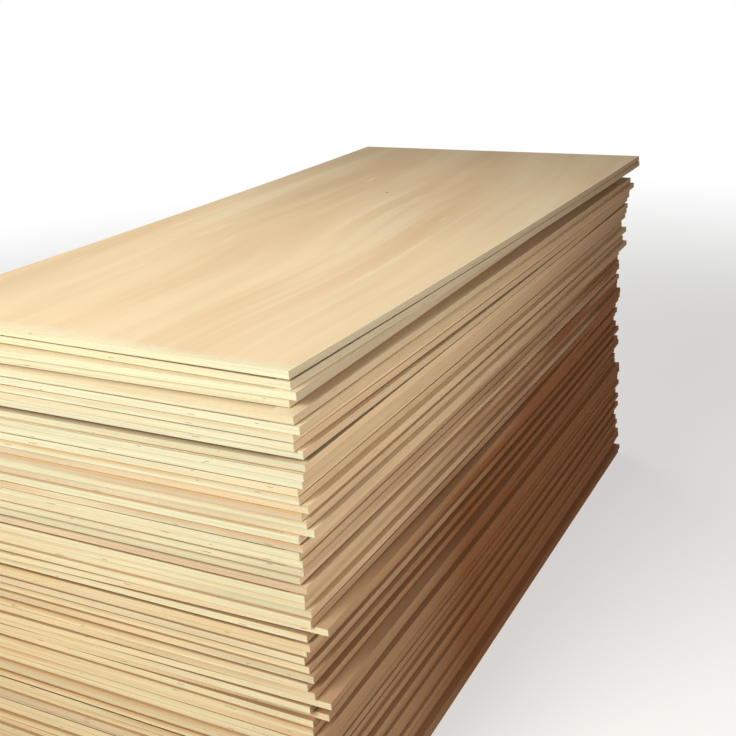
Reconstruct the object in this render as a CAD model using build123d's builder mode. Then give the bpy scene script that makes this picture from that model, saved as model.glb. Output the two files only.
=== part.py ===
"""Free-standing stack of plywood sheets, laid up by hand and left uneven.

Millimetres. X runs across the sheets, Y along them, +Z is up. The origin is on
the floor, under the middle of the bottom sheet. The short end at -Y and the long
edge at +X are the sides that stand clear.

Each sheet is one slab, slightly warped: its underside is a quadratic surface, and
the slab is that surface raised by the sheet's thickness. Every sheet is lowered
onto the one below until the two are seat_clearance apart where they come closest,
so a difference in warp shows as a gap that tapers away along the edges. Sheets are
numbered from the top of the stack.
"""

from math import atan, cos, degrees, radians, sin
import os

from build123d import *

# The sheet.
sheet_length = 2440.0
sheet_width = 1220.0
sheet_thickness = 18.0

# The stack.
sheet_count = 64
sheets_per_lift = 4
seat_clearance = 0.4

# Warp, as the rise of a sheet's rim over its middle.
cup_rise = 0.6
twist_rise = 0.6
settling = 0.55

# Gaps that stand open at the near short end, by the number of the sheet above each,
# and how much of a gap is left at the far end.
end_gaps = {
    1: 2.2,
    2: 0.6,
    3: 0.8,
    4: 0.8,
    5: 1.2,
    9: 10.5,
    12: 1.6,
    14: 1.4,
    17: 2.0,
    19: 3.4,
    21: 1.4,
    24: 4.0,
    25: 2.0,
    30: 7.5,
    31: 5.0,
    34: 4.2,
    36: 3.8,
    37: 1.4,
    39: 3.4,
    40: 4.4,
    43: 2.8,
    45: 1.2,
    47: 1.8,
    49: 3.7,
    52: 2.7,
    56: 4.2,
    58: 4.0,
    61: 1.6,
}
far_share = 0.8

# Batches laid up one on another, by the number of their uppermost sheet: how far
# each stands to the long edge and to the far end, and its turn in degrees.
batches = {
    1: (34.0, 46.0, -1.8),
    3: (4.0, 23.0, 0.0),
    5: (41.0, -2.0, -0.7),
    9: (23.0, 0.0, 0.0),
    19: (-1.0, 0.0, 0.0),
    31: (-10.0, 0.0, 0.0),
}
pair_slip = 1.5

# How the sheets scatter in plan. A lift is the handful of sheets laid down at once.
lift_scatter_side = 2.0
lift_scatter_end = 4.0
sheet_scatter_side = 13.0
sheet_scatter_end = 5.0
lift_skew = 0.15

# Sheets whose near corner was knocked out at the long edge, by number.
knocked_out = {
    30: 44.0,
    39: 34.0,
    41: 42.0,
}

# The scatter is drawn from these, so every build gives the same stack.
side_seed = 40705
end_seed = 146132
number_step = 12.9898
seed_step = 78.233
spread = 43758.5453

stations = 9


def scatter(number, seed):
    """A repeatable value between -1 and 1 for one sheet or lift."""
    return 2.0 * (sin(number * number_step + seed * seed_step) * spread % 1.0) - 1.0


def lift_of(number):
    """Number of the lift, from the bottom, that a sheet belongs to."""
    return (sheet_count - number) // sheets_per_lift + 1


def place(number):
    """Plane of one sheet in plan, at floor level."""
    if number == sheet_count:
        return Plane.XY
    first = max(uppermost for uppermost in batches if uppermost <= number)
    side, end, turn = batches[first]
    if first == 1:
        side += pair_slip * (number - 1)
    else:
        lift = lift_of(number)
        side += lift_scatter_side * scatter(lift, 1) + sheet_scatter_side * scatter(number, side_seed)
        end += lift_scatter_end * scatter(lift, 3) + sheet_scatter_end * scatter(number, end_seed)
        turn += lift_skew * scatter(lift, 5)
    out = knocked_out.get(number, 0.0)
    side += out / 2
    turn += degrees(atan(out / sheet_length))
    return Plane(origin=(side, end, 0.0), x_dir=(cos(radians(turn)), sin(radians(turn)), 0.0))


def warp(number, below):
    """Bow and tilt along the sheet, cup across it and twist, given those of the sheet below."""
    if number == sheet_count:
        return 0.0, 0.0, 0.0, 0.0
    gap = end_gaps.get(number)
    bow, tilt = below[:2]
    if gap is None:
        bow *= settling
    else:
        bow += gap * (1.0 + far_share) / 2
        tilt += gap * (1.0 - far_share) / 2
    return bow, tilt, cup_rise * scatter(number, 6), twist_rise * scatter(number, 7)


def rise(form, u, v):
    """Height of a warped underside at u across and v along, each from -1 to 1."""
    bow, tilt, cup, twist = form
    return bow * v * v - tilt * v + cup * u * u + twist * u * v


def seat(spot, form, spot_below, form_below):
    """Lift needed for a sheet to clear the underside of the one below it."""
    highest = None
    for i in range(stations):
        for j in range(stations):
            u = 2.0 * i / (stations - 1) - 1.0
            v = 2.0 * j / (stations - 1) - 1.0
            point = spot.from_local_coords(Vector(u * sheet_width / 2, v * sheet_length / 2, 0))
            local = spot_below.to_local_coords(point)
            u_below = 2.0 * local.X / sheet_width
            v_below = 2.0 * local.Y / sheet_length
            need = rise(form_below, u_below, v_below) - rise(form, u, v)
            highest = need if highest is None else max(highest, need)
    return highest


def underside(form):
    """Underside of a sheet about its own middle: flat, or one quadratic patch."""
    if not any(form):
        return Face.make_rect(sheet_width, sheet_length)
    bow, tilt, cup, twist = form
    net = []
    for i in (-1, 0, 1):
        row = []
        for j in (-1, 0, 1):
            height = bow * (1 if j else -1) - tilt * j + cup * (1 if i else -1) + twist * i * j
            row.append((i * sheet_width / 2, j * sheet_length / 2, height))
        net.append(row)
    return Face.make_bezier_surface(net)


# Every sheet's plane and warp, from the floor up.
sheets = []
level = 0.0
for number in range(sheet_count, 0, -1):
    spot = place(number)
    if sheets:
        below_spot, below_form, below_level = sheets[-1]
        form = warp(number, below_form)
        level = below_level + sheet_thickness + seat_clearance
        level += seat(spot, form, below_spot, below_form)
    else:
        form = warp(number, None)
    sheets.append((spot, form, level))

os.makedirs("parts", exist_ok=True)

lift_count = -(-sheet_count // sheets_per_lift)
for lift in range(lift_count):
    first = lift * sheets_per_lift
    with BuildPart() as sheet_lift:
        for spot, form, level in sheets[first : first + sheets_per_lift]:
            face = spot.offset(level) * underside(form)
            extrude(face, amount=sheet_thickness, dir=(0, 0, 1), clean=False)
    name = f"sheets_lift_{lift + 1:02d}"
    sheet_lift.part.label = name
    export_step(sheet_lift.part, f"parts/{name}.step")
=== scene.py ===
"""Looks for the free-standing stack of plywood sheets.

Metres, in the row frame: X across the sheets, Y along them, Z up. Every sheet is a
CAD solid and stays as it is. Here they get their plywood: rotary-cut veneer on the
faces, and on the sawn edges the plies, with their joints and core voids.
"""

import math

import bpy
from mathutils import Euler, Matrix, Vector

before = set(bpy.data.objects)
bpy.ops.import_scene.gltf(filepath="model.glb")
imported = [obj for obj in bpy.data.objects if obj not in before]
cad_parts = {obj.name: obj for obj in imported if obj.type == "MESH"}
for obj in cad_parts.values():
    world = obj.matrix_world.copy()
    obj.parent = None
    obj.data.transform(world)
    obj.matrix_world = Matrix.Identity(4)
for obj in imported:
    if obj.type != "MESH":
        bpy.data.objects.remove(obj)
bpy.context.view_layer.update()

# The sheet's thickness and the sheets of a lift, as the part's source has them, and the
# plies that a sheet shows.
sheet_thickness = 0.018
sheets_per_lift = 4
sheet_plies = 11

# The lifts' nodes, from the floor up. Sheets are numbered through the lifts, in the order
# of the islands of each mesh. The top lift's first island is the uppermost sheet.
lifts = sorted(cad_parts)
top_node = lifts[-1]
top_sheet = (len(lifts) - 1) * sheets_per_lift

# Colours of the wood, linear: the faces, with the painted shade of their undersides, the
# short ends, the long sides, with their painted brown shadow, the painted shade in the
# gaps, and the dark lines and voids of the edges.
veneer_pale = (0.93, 0.74, 0.47)
veneer_rosy = (0.84, 0.61, 0.36)
veneer_cream = (0.96, 0.82, 0.55)
# The undersides are painted dark as the shade of the gaps.
underside_shade = (0.20, 0.11, 0.05)
knot_dark = (0.36, 0.20, 0.10)
torn_white = (0.93, 0.88, 0.62)
end_cream = (0.87, 0.86, 0.61)
end_warm = (0.97, 0.81, 0.49)
end_peach = (0.93, 0.66, 0.37)
end_olive = (0.58, 0.50, 0.28)
end_green = (0.66, 0.60, 0.40)
end_mauve = (0.62, 0.47, 0.34)
# The orange is painted shadow under the gaps of the short ends.
end_shadow_orange = (0.76, 0.46, 0.20)
side_grey = (0.62, 0.54, 0.38)
side_tan = (0.82, 0.61, 0.38)
# Painted shadow: the brown of the long sides low down and at the far end.
painted_shadow_brown = (0.27, 0.105, 0.038)
# Painted shade in the gaps and under the edges that stand out: brown in the long sides, olive and
# orange in the short ends.
gap_shade_brown = (0.26, 0.12, 0.045)
gap_shade_olive = (0.20, 0.11, 0.03)
shade_orange = (0.80, 0.46, 0.20)
glue_dark = (0.40, 0.29, 0.14)
# The dark skin under some sheets' upper face, partly painted shadow of the gap above.
skin_and_shadow_dark = (0.30, 0.20, 0.07)
void_dark = (0.16, 0.10, 0.04)

# Heights, in metres, where a change starts and where it is complete: the short ends turn
# warm, the long sides take their painted brown shadow, and grey near the top, and the short
# ends' tinges and dark lines, partly painted shadow under the gaps, which are calm near the
# top, come to their full strength.
end_heights = (1.10, 0.45)
side_heights = (1.00, 0.50)
grey_heights = (1.14, 1.27)
calm_heights = (1.24, 1.08)

# The same for the ledges' edge colour with its painted shadow, for the painted orange shade
# in the short ends, and for the painted brown shade in the long sides' gaps, first its soft
# part and then its deep part.
ledge_heights = (1.1, 0.6)
shade_heights = (1.24, 1.05)
hollow_heights = (1.1, 0.5)
deep_heights = (1.25, 1.10)

# How near other wood has to be for painted shade in a gap, and how far out from the middle
# the gaps are those of a long side, in metres.
gap_reach = 0.045
side_start = 0.57

# The torn rim of the uppermost face, in metres: its least and greatest width at the near
# short end and its width at the clear long side, each with how far it strays.
end_rim_widths = (0.028, 0.065)
end_rim_stray = 0.018
side_rim_width = 0.010
side_rim_stray = 0.003

# The one pin knot of the uppermost sheet, in metres.
knot_place = (-0.015, 0.45)
knot_reach = 0.009

# The core voids. Each stretch of a ply has its own draw, from 0 to 1, and a void where
# that is over void_draw. The stretches are in metres.
void_stretch = 0.16
void_draw = 0.968

# Depth of the wood's relief, in metres.
relief_depth = 0.0006

# The floor, in metres, and where it fades to white.
floor_radius = 40.0
floor_fade = (2.5, 7.0)
floor_grey = (0.5, 0.5, 0.5, 1.0)
floor_glow = 0.5
floor_dull = (0.30, 0.24, 0.18, 1.0)
plain_white = (1.0, 1.0, 1.0, 1.0)

# The light: the colour of the lamps above, that of the lamps beside and behind, and the
# strength of the even light.
upper_white = (1.0, 0.97, 0.92)
lower_white = (1.0, 0.95, 0.88)
even_strength = 0.17

# The photograph's camera: 736 pixels wide, its axis off the middle of the frame. Its
# place and range are in metres, its angles in degrees and its sensor in millimetres.
photo_pixels = 736
focal_pixels = 1081.8
axis_pixel_x = 400.0
axis_pixel_y = 300.0
sensor_width = 36.0
camera_place = Vector((1.7558, -2.8906, 2.0768))
camera_azimuth = 27.58
camera_fall = 17.77
camera_roll = -3.53
camera_range = 200.0


class Nodes:
    """Builds one node tree: adds nodes and links or sets their inputs."""

    def __init__(self, tree):
        self.tree = tree

    def add(self, kind, inputs=None, **settings):
        """A new node, with its settings made before its inputs."""
        node = self.tree.nodes.new(kind)
        for name, value in settings.items():
            setattr(node, name, value)
        for name, value in (inputs or {}).items():
            self.join(value, node.inputs[name])
        return node

    def join(self, value, socket):
        """Link the value to the socket, or set it there if it is a constant."""
        if isinstance(value, bpy.types.NodeSocket):
            self.tree.links.new(value, socket)
        else:
            socket.default_value = value

    def math(self, operation, a, b=0.0, c=0.0, clamp=False):
        node = self.add("ShaderNodeMath", operation=operation, use_clamp=clamp)
        for socket, value in zip(node.inputs, (a, b, c)):
            self.join(value, socket)
        return node.outputs[0]

    def vector(self, operation, a, b=(0.0, 0.0, 0.0)):
        node = self.add("ShaderNodeVectorMath", operation=operation)
        self.join(a, node.inputs[0])
        self.join(b, node.inputs[1])
        return node.outputs[0]

    def split(self, vector):
        return self.add("ShaderNodeSeparateXYZ", {"Vector": vector}).outputs

    def combine(self, x=0.0, y=0.0, z=0.0):
        return self.add("ShaderNodeCombineXYZ", {"X": x, "Y": y, "Z": z}).outputs[0]

    def noise(self, vector, detail=2.0, roughness=0.5):
        """Smooth noise about 0.5."""
        made = {"Vector": vector, "Scale": 1.0, "Detail": detail, "Roughness": roughness}
        return self.add("ShaderNodeTexNoise", made).outputs["Fac"]

    def chance(self, vector):
        """Three random values, from 0 to 1, for each different vector."""
        node = self.add("ShaderNodeTexWhiteNoise", {"Vector": vector})
        return self.split(node.outputs["Color"])

    def span(self, value, low, high, to_low=0.0, to_high=1.0, smooth=True):
        """The value's way from low to high, as a way from to_low to to_high."""
        made = {"Value": value, "From Min": low, "From Max": high}
        made.update({"To Min": to_low, "To Max": to_high})
        kind = "SMOOTHSTEP" if smooth else "LINEAR"
        return self.add("ShaderNodeMapRange", made, interpolation_type=kind).outputs[0]

    def blend(self, factor, a, b, mode="MIX"):
        """Colour a, and colour b over it by the factor."""
        node = self.add("ShaderNodeMix", data_type="RGBA", blend_type=mode)
        self.join(factor, node.inputs[0])
        self.join(a if isinstance(a, bpy.types.NodeSocket) else (*a, 1.0), node.inputs[6])
        self.join(b if isinstance(b, bpy.types.NodeSocket) else (*b, 1.0), node.inputs[7])
        return node.outputs[2]

    def shade(self, colour, value):
        """The colour times a value."""
        return self.blend(1.0, colour, self.combine(value, value, value), "MULTIPLY")

    def choose(self, share, a, b):
        """Value a where the share is 0, and value b where it is 1."""
        first = self.math("MULTIPLY", a, self.math("SUBTRACT", 1.0, share))
        return self.math("ADD", first, self.math("MULTIPLY", b, share))

    def inside(self, share):
        """How far a share from 0 to 1 is from the nearer of the two."""
        return self.math("SUBTRACT", 0.5, self.math("ABSOLUTE", self.math("SUBTRACT", share, 0.5)))

    def mix(self, share, a, b):
        """Shader a where the share is 0, and shader b where it is 1."""
        node = self.add("ShaderNodeMixShader")
        for socket, value in zip(node.inputs, (share, a, b)):
            self.join(value, socket)
        return node.outputs[0]

    def in_sight(self):
        """1 for the camera's own rays and for glossy ones, and 0 for all other light."""
        seen = self.add("ShaderNodeLightPath")
        return self.math("MAXIMUM", seen.outputs["Is Camera Ray"], seen.outputs["Is Glossy Ray"])


def ply_group():
    """Geometry nodes that tell each face corner how far up its own sheet it is.

    A ray goes down from just inside the corner to the sheet's underside. Its length
    gives the height in the sheet, and the face that it meets gives the sheet."""
    # How far the ray starts inside the sheet's edge and above its corner, and its length.
    inset = 0.0006
    lift = 0.00012
    reach = 0.05
    group = bpy.data.node_groups.new("ply_place", "GeometryNodeTree")
    group.interface.new_socket("Sheets", in_out="INPUT", socket_type="NodeSocketGeometry")
    group.interface.new_socket("First", in_out="INPUT", socket_type="NodeSocketInt")
    group.interface.new_socket("Sheets", in_out="OUTPUT", socket_type="NodeSocketGeometry")
    n = Nodes(group)
    given = n.add("NodeGroupInput")
    facing = n.add("GeometryNodeInputNormal").outputs[0]
    corner = n.add("GeometryNodeInputPosition").outputs[0]
    per_face = {"data_type": "FLOAT_VECTOR", "domain": "FACE"}
    outward = n.add("GeometryNodeFieldOnDomain", {0: facing}, **per_face).outputs[0]
    middle = n.add("GeometryNodeFieldOnDomain", {0: corner}, **per_face).outputs[0]
    down = n.math("LESS_THAN", n.split(outward)[2], -0.5)
    cut = n.add("GeometryNodeSeparateGeometry", domain="FACE")
    n.join(given.outputs[0], cut.inputs["Geometry"])
    n.join(down, cut.inputs["Selection"])
    inward = n.vector("MULTIPLY", outward, (-inset, -inset, 0.0))
    toward = n.vector("MULTIPLY", n.vector("SUBTRACT", middle, corner), (1.0, 1.0, 0.0))
    toward = n.vector("MULTIPLY", n.vector("NORMALIZE", toward), (inset, inset, 0.0))
    start = n.vector("ADD", n.vector("ADD", corner, inward), toward)
    start = n.vector("ADD", start, (0.0, 0.0, lift))
    ray = n.add("GeometryNodeRaycast", data_type="FLOAT")
    n.join(cut.outputs["Selection"], ray.inputs["Target Geometry"])
    n.join(n.add("GeometryNodeInputMeshIsland").outputs["Island Index"], ray.inputs["Attribute"])
    n.join(start, ray.inputs["Source Position"])
    n.join((0.0, 0.0, -1.0), ray.inputs["Ray Direction"])
    n.join(reach, ray.inputs["Ray Length"])
    height = n.math("SUBTRACT", ray.outputs["Hit Distance"], lift)
    height = n.math("DIVIDE", height, sheet_thickness, clamp=True)
    sheet = n.math("ADD", ray.outputs["Attribute"], given.outputs[1])
    body = given.outputs[0]
    for name, value in (("ply", height), ("sheet", sheet)):
        keep = n.add("GeometryNodeStoreNamedAttribute", data_type="FLOAT", domain="CORNER")
        n.join(body, keep.inputs["Geometry"])
        n.join(name, keep.inputs["Name"])
        n.join(value, keep.inputs["Value"])
        body = keep.outputs["Geometry"]
    n.join(body, n.add("NodeGroupOutput").inputs[0])
    return group


def near_corners(node):
    """Near left and near right corners of the uppermost sheet of a lift."""
    points = [v.co.copy() for v in node.data.vertices]
    highest = max(p.z for p in points)
    face = [p for p in points if p.z > highest - 0.6 * sheet_thickness]
    near_left = min(face, key=lambda p: p.x + p.y)
    near_right = max(face, key=lambda p: p.x - p.y)
    return near_left, near_right


def veneer(n, place, drawn):
    """Colour and fine grain of a sheet's face: rotary-cut veneer, drawn out along Y."""

    def figure(spot, across, along, detail=2.0, roughness=0.5):
        """Noise with this many turns a metre across the sheet and along it."""
        return n.noise(n.vector("MULTIPLY", spot, (across, along, 0.0)), detail, roughness)

    shift = n.vector("MULTIPLY", n.combine(*drawn), (7.0, 9.0, 3.0))
    spot = n.vector("ADD", place, shift)
    bend = figure(spot, 0.9, 0.45, detail=1.0)
    bent = n.vector("ADD", spot, n.combine(n.math("MULTIPLY", bend, 0.45)))
    broad = figure(bent, 3.6, 0.50)
    streak = figure(bent, 11.0, 0.55)
    fleck = figure(bent, 21.0, 3.2)
    fine = figure(bent, 46.0, 1.6, detail=4.0, roughness=0.6)
    patch = figure(spot, 1.2, 1.0, detail=1.0)
    colour = n.blend(n.span(broad, 0.32, 0.68), veneer_rosy, veneer_pale)
    colour = n.blend(n.span(streak, 0.50, 0.72, 0.0, 0.7), colour, veneer_cream)
    colour = n.blend(n.span(fleck, 0.66, 0.80, 0.0, 0.6), colour, veneer_cream)
    colour = n.shade(colour, n.span(streak, 0.30, 0.50, 0.955, 1.0))
    colour = n.shade(colour, n.span(fine, 0.3, 0.7, 0.975, 1.02))
    return n.shade(colour, n.span(patch, 0.3, 0.7, 0.96, 1.03)), fine


def torn_rim(n, place):
    """How white a face is along the sawn edges of the uppermost sheet."""
    near_left, near_right = near_corners(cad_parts[top_node])
    along = near_right - near_left
    turn = math.atan2(along.y, along.x)
    back = Matrix.Rotation(-turn, 4, "Z") @ near_right
    own = n.add("ShaderNodeMapping", {"Vector": place})
    own.inputs["Rotation"].default_value = (0.0, 0.0, -turn)
    own.inputs["Location"].default_value = (-back.x, -back.y, 0.0)
    x, y, _ = n.split(own.outputs[0])
    ragged = n.noise(n.vector("MULTIPLY", place, (22.0, 60.0, 0.0)), detail=4.0, roughness=0.7)
    wander = n.noise(n.vector("MULTIPLY", place, (3.0, 3.0, 0.0)), detail=1.0)
    width = n.span(wander, 0.3, 0.7, *end_rim_widths)
    front = n.math("ADD", y, n.span(ragged, 0.2, 0.8, -end_rim_stray, end_rim_stray))
    front = n.math("SUBTRACT", 1.0, n.math("DIVIDE", front, width), clamp=True)
    stray = n.span(ragged, 0.2, 0.8, -side_rim_stray, side_rim_stray)
    side = n.math("ADD", n.math("MULTIPLY", x, -1.0), stray)
    side = n.math("SUBTRACT", 1.0, n.math("DIVIDE", side, side_rim_width), clamp=True)
    return n.math("MAXIMUM", front, n.math("MULTIPLY", side, 0.6))


def pin_knot(n, place):
    """How dark a face is at the pin knot."""
    away = n.add("ShaderNodeVectorMath", operation="DISTANCE")
    n.join(n.vector("MULTIPLY", place, (1.0, 1.0, 0.0)), away.inputs[0])
    n.join((*knot_place, 0.0), away.inputs[1])
    return n.span(away.outputs["Value"], knot_reach * 0.4, knot_reach, 0.8, 0.0)


def slow_noise(n, run, sheet, along, own, third=0.0):
    """Noise that changes slowly along an edge and is a different one in every sheet."""
    return n.noise(n.combine(n.math("MULTIPLY", run, along), n.math("MULTIPLY", sheet, own), third))


def painted_shadow_share(n, place, sheet):
    """How far painted shadow turns the long side from tan to brown: most low down and at the
    far end.

    Each sheet is a little ahead of its neighbours or behind them."""
    _, run, height = n.split(place)
    own = n.chance(n.combine(sheet, 6.0, 2.0))[0]
    height = n.math("ADD", height, n.span(own, 0.0, 1.0, -0.10, 0.10, smooth=False))
    wander = slow_noise(n, run, sheet, 1.2, 0.2, 3.0)
    height = n.math("ADD", height, n.span(wander, 0.25, 0.75, -0.09, 0.09))
    lower = n.math("MULTIPLY", n.span(height, *side_heights), n.span(run, -1.3, 0.1, 0.62, 1.0))
    return n.math("ADD", lower, n.span(run, -1.0, 1.3, 0.0, 0.55), clamp=True)


class Edge:
    """Where a point lies on a sawn edge, and what is drawn for its sheet and ply.

    run is the distance along the edge and ply the height in the sheet, from 0 to 1.
    step is that height in plies, index the ply's number and within the place in it. rim
    is how far the nearer face is, as a share of the sheet. seed gives the short ends and
    the long sides draws of their own, and start gives each sheet its own layers."""

    def __init__(self, n, run, ply, sheet, seed):
        self.n = n
        self.run = run
        self.ply = ply
        self.sheet = sheet
        self.seed = seed
        wobble = n.noise(n.combine(n.math("MULTIPLY", run, 2.5), sheet))
        wobble = n.span(wobble, 0.0, 1.0, -0.02, 0.02, smooth=False)
        self.step = n.math("MULTIPLY", n.math("ADD", ply, wobble), sheet_plies)
        self.index = n.math("FLOOR", self.step)
        self.within = n.math("SUBTRACT", self.step, self.index)
        self.rim = n.inside(ply)
        self.start = n.math("MULTIPLY", sheet, 3.7)
        self.drawn = n.chance(n.combine(sheet, seed, 4.0))
        self.ply_drawn = n.chance(n.combine(self.index, sheet, seed))

    def layers(self, along, across, third, detail=3.0, roughness=0.6):
        """Noise in layers along the edge, with this many turns a metre and a ply."""
        n = self.n
        level = n.math("MULTIPLY_ADD", self.step, across, self.start)
        return n.noise(n.combine(n.math("MULTIPLY", self.run, along), level, third), detail, roughness)

    def slow(self, along, own, third=0.0):
        """Slow noise of this edge."""
        return slow_noise(self.n, self.run, self.sheet, along, own, third)


def voids(n, edge):
    """Mask of the short open joints in the core, with soft ends."""
    along = n.math("DIVIDE", edge.run, void_stretch)
    first = n.math("FLOOR", along)
    drawn = n.chance(n.combine(first, edge.index, n.math("ADD", edge.sheet, edge.seed)))
    centre = n.span(drawn[0], 0.0, 1.0, 0.2, 0.8, smooth=False)
    away = n.math("ABSOLUTE", n.math("SUBTRACT", n.math("SUBTRACT", along, first), centre))
    reach = n.span(drawn[1], 0.0, 1.0, 0.02, 0.12, smooth=False)
    dash = n.span(n.math("DIVIDE", away, reach), 0.5, 1.0, 1.0, 0.0)
    rim = n.math("ABSOLUTE", n.math("SUBTRACT", edge.within, 0.5))
    dash = n.math("MULTIPLY", dash, n.span(rim, 0.30, 0.50, 1.0, 0.0))
    dash = n.math("MULTIPLY", dash, n.math("GREATER_THAN", drawn[2], void_draw))
    return n.math("MULTIPLY", dash, n.math("GREATER_THAN", edge.rim, 0.10))


def end_wood(n, edge, height, calm):
    """Wood of the short ends: cream above and warm below, with tinges in single sheets. The
    orange tinge is painted shadow, strongest at the top of a sheet, under the gap above.
    """
    low = n.math("MULTIPLY", n.span(height, *end_heights), n.span(edge.run, -0.5, 0.6, 1.0, 0.6))
    colour = n.blend(low, end_cream, end_warm)
    warm = n.span(edge.drawn[0], 0.0, 1.0, -0.42, 0.16, smooth=False)
    warm = n.math("ADD", warm, edge.slow(1.1, 5.3))
    rosy = edge.layers(1.7, 0.55, 20.0, detail=2.0, roughness=0.5)
    peach = n.math("MAXIMUM", n.span(warm, 0.42, 0.75, 0.0, 0.7), n.span(rosy, 0.56, 0.74, 0.0, 0.8))
    colour = n.blend(n.math("MULTIPLY", peach, calm), colour, end_peach)
    dusky = edge.layers(5.0, 1.1, 40.0, roughness=0.65)
    colour = n.blend(n.span(dusky, 0.52, 0.76, 0.0, 0.55), colour, end_olive)
    stretch = n.math("MULTIPLY", n.span(edge.slow(0.9, 2.3, 7.0), 0.36, 0.60), calm)
    green = n.span(edge.drawn[1], 0.78, 0.84, 0.0, 0.55)
    mauve = n.span(edge.drawn[1], 0.22, 0.16, 0.0, 0.55)
    # Painted shadow: orange that grows toward the top of a sheet, under the gap above it.
    orange = n.span(edge.drawn[2], 0.50, 0.72, 0.0, 0.85)
    orange = n.math("MULTIPLY", n.span(edge.ply, 0.15, 1.0), orange)
    for share, tinge in ((green, end_green), (mauve, end_mauve), (orange, end_shadow_orange)):
        colour = n.blend(n.math("MULTIPLY", share, stretch), colour, tinge)
    return colour


def side_wood(n, edge, height, place):
    """Wood of the long sides: grey near the top, then tan, and brown low down, which is
    painted shadow.
    """
    upper = n.blend(n.span(height, *grey_heights), side_tan, side_grey)
    colour = n.blend(painted_shadow_share(n, place, edge.sheet), upper, painted_shadow_brown)
    return n.shade(colour, n.span(edge.drawn[0], 0.0, 1.0, 0.86, 1.08, smooth=False))


def ply_lines(n, edge, patch):
    """Mask of the glue lines between the plies and of the dark skin next to the faces."""
    skin = n.span(edge.rim, 0.015, 0.06, 0.6, 0.0)
    skin = n.math("MULTIPLY", skin, n.span(patch, 0.48, 0.72))
    glue = n.span(n.inside(edge.within), 0.0, 0.12, 1.0, 0.0)
    glue = n.math("MULTIPLY", glue, n.span(edge.ply_drawn[1], 0.35, 1.0, 0.0, 0.35))
    return n.math("MAXIMUM", skin, glue)


def crown_line_and_shadow(n, edge, patch, calm):
    """Mask of the strong dark line that some sheets have under their upper face: a dark skin,
    partly painted shadow of the gap above.
    """
    strong = n.span(n.chance(n.combine(edge.sheet, edge.seed, 8.0))[0], 0.55, 0.80)
    strong = n.math("MULTIPLY", strong, calm)
    strong = n.math("MULTIPLY", strong, n.span(patch, 0.35, 0.60, 0.4, 1.0))
    return n.math("MULTIPLY", n.span(edge.ply, 0.84, 0.98, 0.0, 0.75), strong)


def sawn_edge(n, run, place, ply, sheet, end):
    """Colour and relief of a sawn edge.

    end is true on the short ends, where the plies next to the faces show their long
    grain."""
    height = n.split(place)[2]
    edge = Edge(n, run, ply, sheet, 1.0 if end else 2.0)
    cross = n.math("PINGPONG", edge.index, 1.0)
    if end:
        calm = n.span(height, *calm_heights, 0.25, 1.0)
        colour = end_wood(n, edge, height, calm)
        grain_dark = n.math("SUBTRACT", 1.0, cross)
        contrast = 1.0
        void_share = 0.75
    else:
        colour = side_wood(n, edge, height, place)
        grain_dark = cross
        contrast = 1.3
        void_share = 0.5

    band = edge.layers(3.0, 0.40, sheet)
    fibre = edge.layers(26.0, 1.7, sheet)
    speck = n.noise(n.vector("MULTIPLY", place, (300.0, 300.0, 520.0)), detail=3.0, roughness=0.7)
    tone = n.span(band, 0.30, 0.70, 1.0 - 0.10 * contrast, 1.0 + 0.03 * contrast)
    tone = n.math("MULTIPLY", tone, n.span(fibre, 0.25, 0.75, 1.0 - 0.05 * contrast, 1.03))
    tone = n.math("MULTIPLY", tone, n.span(speck, 0.25, 0.75, 0.95, 1.03))
    tone = n.math("MULTIPLY", tone, n.span(grain_dark, 0.0, 1.0, 1.0, 0.96))
    tone = n.math("MULTIPLY", tone, n.span(edge.ply_drawn[0], 0.0, 1.0, 0.96, 1.02, smooth=False))
    colour = n.shade(colour, tone)

    patch = edge.slow(1.6, 3.1, edge.seed)
    colour = n.blend(ply_lines(n, edge, patch), colour, glue_dark)
    # The crown line is partly painted shadow of the gap above.
    if end:
        colour = n.blend(crown_line_and_shadow(n, edge, patch, calm), colour, skin_and_shadow_dark)
    void = voids(n, edge)
    colour = n.blend(n.math("MULTIPLY", void, void_share), colour, void_dark)
    relief = n.math("MULTIPLY_ADD", grain_dark, -0.4, n.math("MULTIPLY", speck, 0.8))
    return colour, n.math("SUBTRACT", relief, n.math("MULTIPLY", void, 3.0))


def sheet_face(n, place, sheet, upward, drawn):
    """Colour and fine grain of the faces.

    The uppermost one has the torn rim and the knot. The undersides are painted dark as the
    shade of the gaps, and the ledges that stand out from the others take the long sides'
    colour, with its painted shadow."""
    colour, grain = veneer(n, place, drawn)
    rim = n.math("MULTIPLY", torn_rim(n, place), n.math("GREATER_THAN", upward, 0.5))
    colour = n.blend(n.math("MULTIPLY", rim, 0.85), colour, torn_white)
    # Painted shade: the undersides are dark.
    colour = n.blend(n.math("LESS_THAN", upward, -0.5), colour, underside_shade)
    covered = n.math("SUBTRACT", 1.0, n.math("COMPARE", sheet, top_sheet, 0.5))
    knot = n.math("MULTIPLY", pin_knot(n, place), n.math("SUBTRACT", 1.0, covered))
    colour = n.blend(knot, colour, knot_dark)
    # Covered faces take the long sides' colour, with its painted shadow.
    ledge = n.blend(painted_shadow_share(n, place, sheet), side_tan, painted_shadow_brown)
    share = n.span(n.split(place)[2], *ledge_heights, 0.5, 0.95)
    return n.blend(n.math("MULTIPLY", covered, share), colour, ledge), grain


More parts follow.
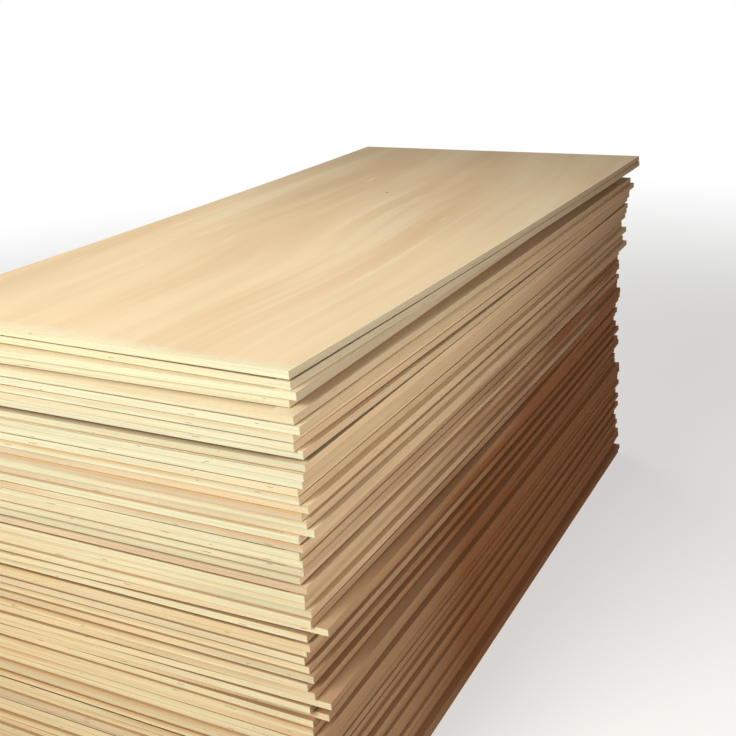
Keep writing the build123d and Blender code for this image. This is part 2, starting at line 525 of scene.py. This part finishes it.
def paint_gap_shade(n, colour, place, on_end, drawn):
    """The colour, with painted shade in the gaps and under the edges that stand out."""
    x, _, height = n.split(place)
    open_sky = n.add("ShaderNodeAmbientOcclusion", {"Distance": gap_reach}, samples=4).outputs["AO"]
    shade = n.span(open_sky, 0.50, 0.92, 1.0, 0.0)
    shade = n.math("MULTIPLY", shade, n.span(drawn[1], 0.2, 1.0, 0.0, 0.5))
    shade = n.math("MULTIPLY", shade, n.span(height, *shade_heights, 0.15, 1.0))
    colour = n.blend(n.math("MULTIPLY", shade, on_end), colour, shade_orange)

    # Painted shade: olive in the short ends' gaps, brown in the long sides' gaps.
    hollow = n.span(open_sky, 0.25, 0.80, 1.0, 0.0)
    end_gap = n.math("MULTIPLY", hollow, n.span(drawn[2], 0.0, 1.0, 0.25, 0.95, smooth=False))
    end_gap = n.math("MAXIMUM", end_gap, n.span(open_sky, 0.10, 0.40, 0.85, 0.0))
    soft = n.math("MULTIPLY", hollow, n.span(height, *hollow_heights, 0.0, 0.65))
    deep = n.span(open_sky, 0.05, 0.35, 0.9, 0.0)
    deep = n.math("MULTIPLY", deep, n.span(height, *deep_heights, 0.3, 1.0))
    side_gap = n.math("MAXIMUM", soft, deep)

    sideward = n.math("GREATER_THAN", n.math("ABSOLUTE", x), side_start)
    sideward = n.math("MULTIPLY", sideward, n.math("SUBTRACT", 1.0, on_end))
    olive = n.blend(end_gap, colour, gap_shade_olive)
    brown = n.blend(side_gap, colour, gap_shade_brown)
    return n.blend(sideward, olive, brown)


def plywood():
    """The one material of every sheet: veneer on the faces, plies on the edges."""
    material = bpy.data.materials.new("plywood_sheet")
    material.use_nodes = True
    material.node_tree.nodes.clear()
    n = Nodes(material.node_tree)
    place = n.add("ShaderNodeTexCoord").outputs["Object"]
    x, y, _ = n.split(place)
    facing = n.split(n.add("ShaderNodeNewGeometry").outputs["True Normal"])
    ply = n.add("ShaderNodeAttribute", attribute_name="ply").outputs["Fac"]
    sheet = n.add("ShaderNodeAttribute", attribute_name="sheet").outputs["Fac"]
    sheet = n.math("ROUND", sheet)
    drawn = n.chance(n.combine(sheet, 5.0, 9.0))
    on_face = n.math("GREATER_THAN", n.math("ABSOLUTE", facing[2]), 0.5)
    on_end = n.math("GREATER_THAN", n.math("ABSOLUTE", facing[1]), 0.5)

    face_colour, grain = sheet_face(n, place, sheet, facing[2], drawn)
    end_colour, end_relief = sawn_edge(n, x, place, ply, sheet, end=True)
    side_colour, side_relief = sawn_edge(n, y, place, ply, sheet, end=False)
    colour = n.blend(on_end, side_colour, end_colour)
    colour = n.blend(on_face, colour, face_colour)
    colour = paint_gap_shade(n, colour, place, on_end, drawn)

    relief = n.choose(on_end, side_relief, end_relief)
    relief = n.choose(on_face, relief, n.math("MULTIPLY", grain, 0.5))
    bump = n.add("ShaderNodeBump", {"Height": relief, "Strength": 0.35, "Distance": relief_depth})
    finish = {
        "Base Color": colour,
        "Roughness": n.math("MULTIPLY_ADD", on_face, -0.16, 0.78),
        "Specular IOR Level": 0.15,
        "Normal": bump.outputs[0],
    }
    shader = n.add("ShaderNodeBsdfPrincipled", finish)
    n.join(shader.outputs[0], n.add("ShaderNodeOutputMaterial").inputs["Surface"])
    return material


def pale_floor():
    """Pale floor that keeps the stack's shadow and fades to white well behind it.

    To the stack itself it looks like dull board, so it throws little light back."""
    bpy.ops.mesh.primitive_circle_add(vertices=96, radius=floor_radius, fill_type="NGON")
    floor = bpy.context.object
    floor.name = "floor"
    material = bpy.data.materials.new("floor_pale")
    material.use_nodes = True
    material.node_tree.nodes.clear()
    n = Nodes(material.node_tree)
    lit = n.add("ShaderNodeBsdfDiffuse", {"Color": floor_grey})
    glow = n.add("ShaderNodeEmission", {"Color": plain_white, "Strength": floor_glow})
    near = n.add("ShaderNodeAddShader")
    n.join(lit.outputs[0], near.inputs[0])
    n.join(glow.outputs[0], near.inputs[1])
    white = n.add("ShaderNodeEmission", {"Color": plain_white, "Strength": 1.0})
    away = n.add("ShaderNodeVectorMath", operation="LENGTH")
    n.join(n.add("ShaderNodeTexCoord").outputs["Object"], away.inputs[0])
    fade = n.span(away.outputs["Value"], *floor_fade)
    shown = n.mix(fade, near.outputs[0], white.outputs[0])
    dull = n.add("ShaderNodeBsdfDiffuse", {"Color": floor_dull})
    surface = n.mix(n.in_sight(), dull.outputs[0], shown)
    n.join(surface, n.add("ShaderNodeOutputMaterial").inputs["Surface"])
    floor.data.materials.append(material)


def studio_world():
    """Even light from all round, seen by the camera as white."""
    world = bpy.data.worlds.new("studio")
    bpy.context.scene.world = world
    world.use_nodes = True
    world.node_tree.nodes.clear()
    n = Nodes(world.node_tree)
    warm = n.add("ShaderNodeBackground", {"Color": (*upper_white, 1.0), "Strength": even_strength})
    white = n.add("ShaderNodeBackground", {"Color": plain_white, "Strength": 1.0})
    surface = n.mix(n.in_sight(), warm.outputs[0], white.outputs[0])
    n.join(surface, n.add("ShaderNodeOutputWorld").inputs["Surface"])


def softbox(name, place, aim, size, power, colour):
    """Rectangular area light at place, turned to aim."""
    data = bpy.data.lights.new(name, "AREA")
    data.shape = "RECTANGLE"
    data.size, data.size_y = size
    data.energy = power
    data.color = colour
    light = bpy.data.objects.new(name, data)
    light.location = place
    toward = Vector(aim) - Vector(place)
    light.rotation_euler = toward.to_track_quat("-Z", "Y").to_euler()
    light.visible_camera = False
    bpy.context.scene.collection.objects.link(light)


def photo_camera():
    """The camera that took the photograph."""
    data = bpy.data.cameras.new("photo")
    data.sensor_width = sensor_width
    data.lens = focal_pixels / photo_pixels * sensor_width
    data.shift_x = (photo_pixels / 2 - axis_pixel_x) / photo_pixels
    data.shift_y = (axis_pixel_y - photo_pixels / 2) / photo_pixels
    data.clip_end = camera_range
    camera = bpy.data.objects.new("photo", data)
    aim = Euler((math.radians(90.0 - camera_fall), 0.0, math.radians(camera_azimuth)))
    roll = Matrix.Rotation(math.radians(camera_roll), 4, "Z")
    camera.matrix_world = Matrix.Translation(camera_place) @ aim.to_matrix().to_4x4() @ roll
    bpy.context.scene.collection.objects.link(camera)
    bpy.context.scene.camera = camera


wood = plywood()
tell_ply = ply_group()
first_input = tell_ply.interface.items_tree["First"].identifier
for number, name in enumerate(lifts):
    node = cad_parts[name]
    for slot in node.material_slots:
        slot.material = wood
    modifier = node.modifiers.new("ply_place", "NODES")
    modifier.node_group = tell_ply
    modifier[first_input] = number * sheets_per_lift

pale_floor()
studio_world()
softbox("key", (-0.3, -4.2, 3.1), (0.0, -0.9, 0.8), (1.8, 1.6), 157.0, upper_white)
softbox("top", (-0.25, -0.3, 2.6), (-0.25, -0.3, 1.29), (1.4, 1.2), 8.7, upper_white)
softbox("side", (3.6, -1.6, 1.6), (0.6, -0.5, 0.9), (1.8, 1.2), 71.0, lower_white)
softbox("back", (-3.4, 3.2, 0.8), (0.0, 0.2, 0.65), (2.6, 1.1), 90.0, lower_white)
photo_camera()

bpy.context.scene.view_settings.view_transform = "Standard"
